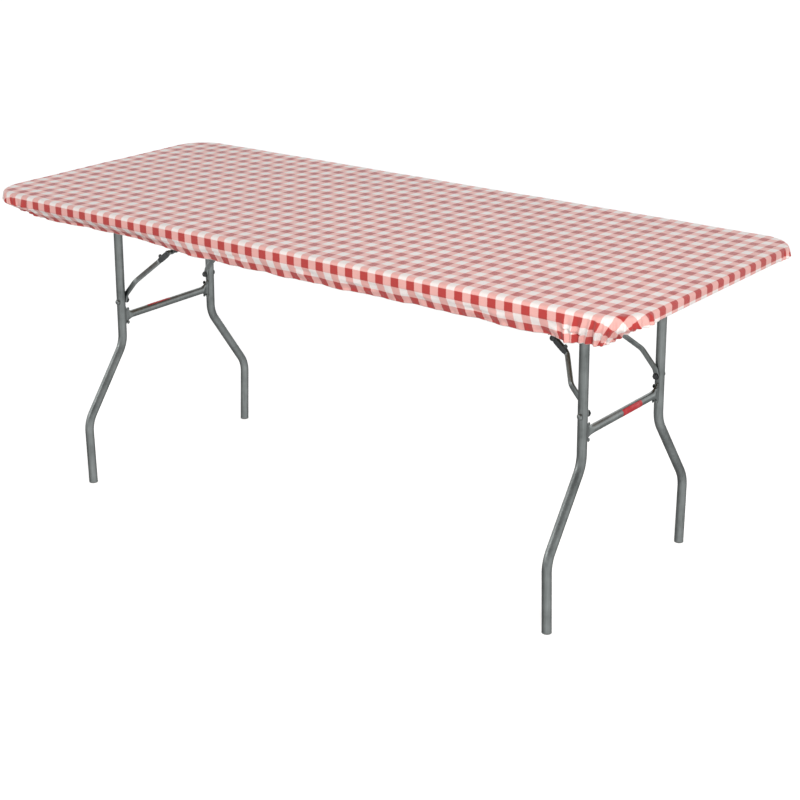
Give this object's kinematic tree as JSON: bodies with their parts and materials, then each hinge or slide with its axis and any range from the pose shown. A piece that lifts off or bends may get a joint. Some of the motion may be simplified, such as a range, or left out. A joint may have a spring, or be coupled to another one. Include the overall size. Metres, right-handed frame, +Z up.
{
  "type": "folding banquet table with fitted tablecloth",
  "caption": "Long rectangular folding table on two folding pairs of bent steel tube legs, covered by a fitted checked cloth with an elastic hem.",
  "frame": {"origin": "on the floor under the middle of the table top", "axes": "+X along the table towards its right end, -Y towards its front long side, +Z up"},
  "size_m": [1.833, 0.766, 0.764],
  "materials": {
    "gingham": "matte red and white gingham",
    "elastic": "matte woven elastic",
    "plywood": "satin clear coat",
    "batten": "bare softwood",
    "edging": "matte vinyl",
    "zinc": "satin zinc plate",
    "zinc_dark": "dark phosphate",
    "glide": "matte",
    "sticker": "satin film"
  },
  "bodies": {
    "top": {"tabletop_panel": "plywood", "gingham_cover": "gingham", "hem_elastic": "elastic", "edge_strip_front": "edging", "edge_batten_front": "batten", "edge_strip_back": "edging", "edge_batten_back": "batten", "edge_strip_left": "edging", "edge_batten_left": "batten", "edge_strip_right": "edging", "edge_batten_right": "batten", "corner_guard_right_front": "edging", "corner_guard_right_back": "edging", "corner_guard_left_front": "edging", "corner_guard_left_back": "edging", "right_leg_bracket_front": "zinc", "right_leg_bracket_back": "zinc", "left_leg_bracket_front": "zinc", "left_leg_bracket_back": "zinc", "right_brace_anchor": "zinc", "right_anchor_rod": "zinc", "left_brace_anchor": "zinc", "left_anchor_rod": "zinc"},
    "right_legs": {"right_leg_front": "zinc", "right_leg_back": "zinc", "right_pivot_rod": "zinc", "right_cross_bar": "zinc", "right_bar_sticker": "sticker", "right_brace_bolt_front": "zinc", "right_brace_bolt_back": "zinc", "right_foot_glide_front": "glide", "right_foot_glide_back": "glide"},
    "right_lower_arm_front": {"right_lower_arm_front": "zinc", "right_knuckle_rivet_front": "zinc_dark"},
    "right_upper_arm_front": {"right_upper_arm_front": "zinc"},
    "right_lock_front": {"right_lock_sleeve_front": "zinc_dark"},
    "right_lower_arm_back": {"right_lower_arm_back": "zinc", "right_knuckle_rivet_back": "zinc_dark"},
    "right_upper_arm_back": {"right_upper_arm_back": "zinc"},
    "right_lock_back": {"right_lock_sleeve_back": "zinc_dark"},
    "left_legs": {"left_leg_front": "zinc", "left_leg_back": "zinc", "left_pivot_rod": "zinc", "left_cross_bar": "zinc", "left_bar_sticker": "sticker", "left_brace_bolt_front": "zinc", "left_brace_bolt_back": "zinc", "left_foot_glide_front": "glide", "left_foot_glide_back": "glide"},
    "left_lower_arm_front": {"left_lower_arm_front": "zinc", "left_knuckle_rivet_front": "zinc_dark"},
    "left_upper_arm_front": {"left_upper_arm_front": "zinc"},
    "left_lock_front": {"left_lock_sleeve_front": "zinc_dark"},
    "left_lower_arm_back": {"left_lower_arm_back": "zinc", "left_knuckle_rivet_back": "zinc_dark"},
    "left_upper_arm_back": {"left_upper_arm_back": "zinc"},
    "left_lock_back": {"left_lock_sleeve_back": "zinc_dark"}
  },
  "joints": [
    {"name": "right_leg_fold", "type": "hinge", "parent": "top", "child": "right_legs", "pos_m": [0.69, 0, 0.715], "axis": [0, 1, 0], "range_deg": [0, 84]},
    {"name": "right_lower_arm_front_pivot", "type": "hinge", "parent": "right_legs", "child": "right_lower_arm_front", "pos_m": [0.69353, -0.152, 0.46202], "axis": [0, 1, 0], "range_deg": [0, 37.27]},
    {"name": "right_upper_arm_front_pivot", "type": "hinge", "parent": "top", "child": "right_upper_arm_front", "pos_m": [0.364, -0.094, 0.732], "axis": [0, -1, 0], "range_deg": [0, 29.56]},
    {"name": "right_lock_front_slide", "type": "slide", "parent": "right_upper_arm_front", "child": "right_lock_front", "axis": [-0.8435, 0, 0.5371], "range_m": [0, 0.06]},
    {"name": "right_lower_arm_back_pivot", "type": "hinge", "parent": "right_legs", "child": "right_lower_arm_back", "pos_m": [0.69353, 0.152, 0.46202], "axis": [0, 1, 0], "range_deg": [0, 37.27]},
    {"name": "right_upper_arm_back_pivot", "type": "hinge", "parent": "top", "child": "right_upper_arm_back", "pos_m": [0.364, 0.094, 0.732], "axis": [0, -1, 0], "range_deg": [0, 29.56]},
    {"name": "right_lock_back_slide", "type": "slide", "parent": "right_upper_arm_back", "child": "right_lock_back", "axis": [-0.8435, 0, 0.5371], "range_m": [0, 0.06]},
    {"name": "left_leg_fold", "type": "hinge", "parent": "top", "child": "left_legs", "pos_m": [-0.69, 0, 0.715], "axis": [0, -1, 0], "range_deg": [0, 88]},
    {"name": "left_lower_arm_front_pivot", "type": "hinge", "parent": "left_legs", "child": "left_lower_arm_front", "pos_m": [-0.69353, -0.152, 0.46202], "axis": [0, -1, 0], "range_deg": [0, 37.14]},
    {"name": "left_upper_arm_front_pivot", "type": "hinge", "parent": "top", "child": "left_upper_arm_front", "pos_m": [-0.364, -0.094, 0.732], "axis": [0, 1, 0], "range_deg": [0, 30.85]},
    {"name": "left_lock_front_slide", "type": "slide", "parent": "left_upper_arm_front", "child": "left_lock_front", "axis": [0.8435, 0, 0.5371], "range_m": [0, 0.06]},
    {"name": "left_lower_arm_back_pivot", "type": "hinge", "parent": "left_legs", "child": "left_lower_arm_back", "pos_m": [-0.69353, 0.152, 0.46202], "axis": [0, -1, 0], "range_deg": [0, 37.14]},
    {"name": "left_upper_arm_back_pivot", "type": "hinge", "parent": "top", "child": "left_upper_arm_back", "pos_m": [-0.364, 0.094, 0.732], "axis": [0, 1, 0], "range_deg": [0, 30.85]},
    {"name": "left_lock_back_slide", "type": "slide", "parent": "left_upper_arm_back", "child": "left_lock_back", "axis": [0.8435, 0, 0.5371], "range_m": [0, 0.06]}
  ],
  "couplings": [
    {"joint": "right_lower_arm_front_pivot", "follows": "right_leg_fold", "ratio": 0.43777},
    {"joint": "right_upper_arm_front_pivot", "follows": "right_leg_fold", "ratio": 0.34595},
    {"joint": "right_lower_arm_back_pivot", "follows": "right_leg_fold", "ratio": 0.43777},
    {"joint": "right_upper_arm_back_pivot", "follows": "right_leg_fold", "ratio": 0.34595},
    {"joint": "left_lower_arm_front_pivot", "follows": "left_leg_fold", "ratio": 0.41636},
    {"joint": "left_upper_arm_front_pivot", "follows": "left_leg_fold", "ratio": 0.34487},
    {"joint": "left_lower_arm_back_pivot", "follows": "left_leg_fold", "ratio": 0.41636},
    {"joint": "left_upper_arm_back_pivot", "follows": "left_leg_fold", "ratio": 0.34487}
  ]
}
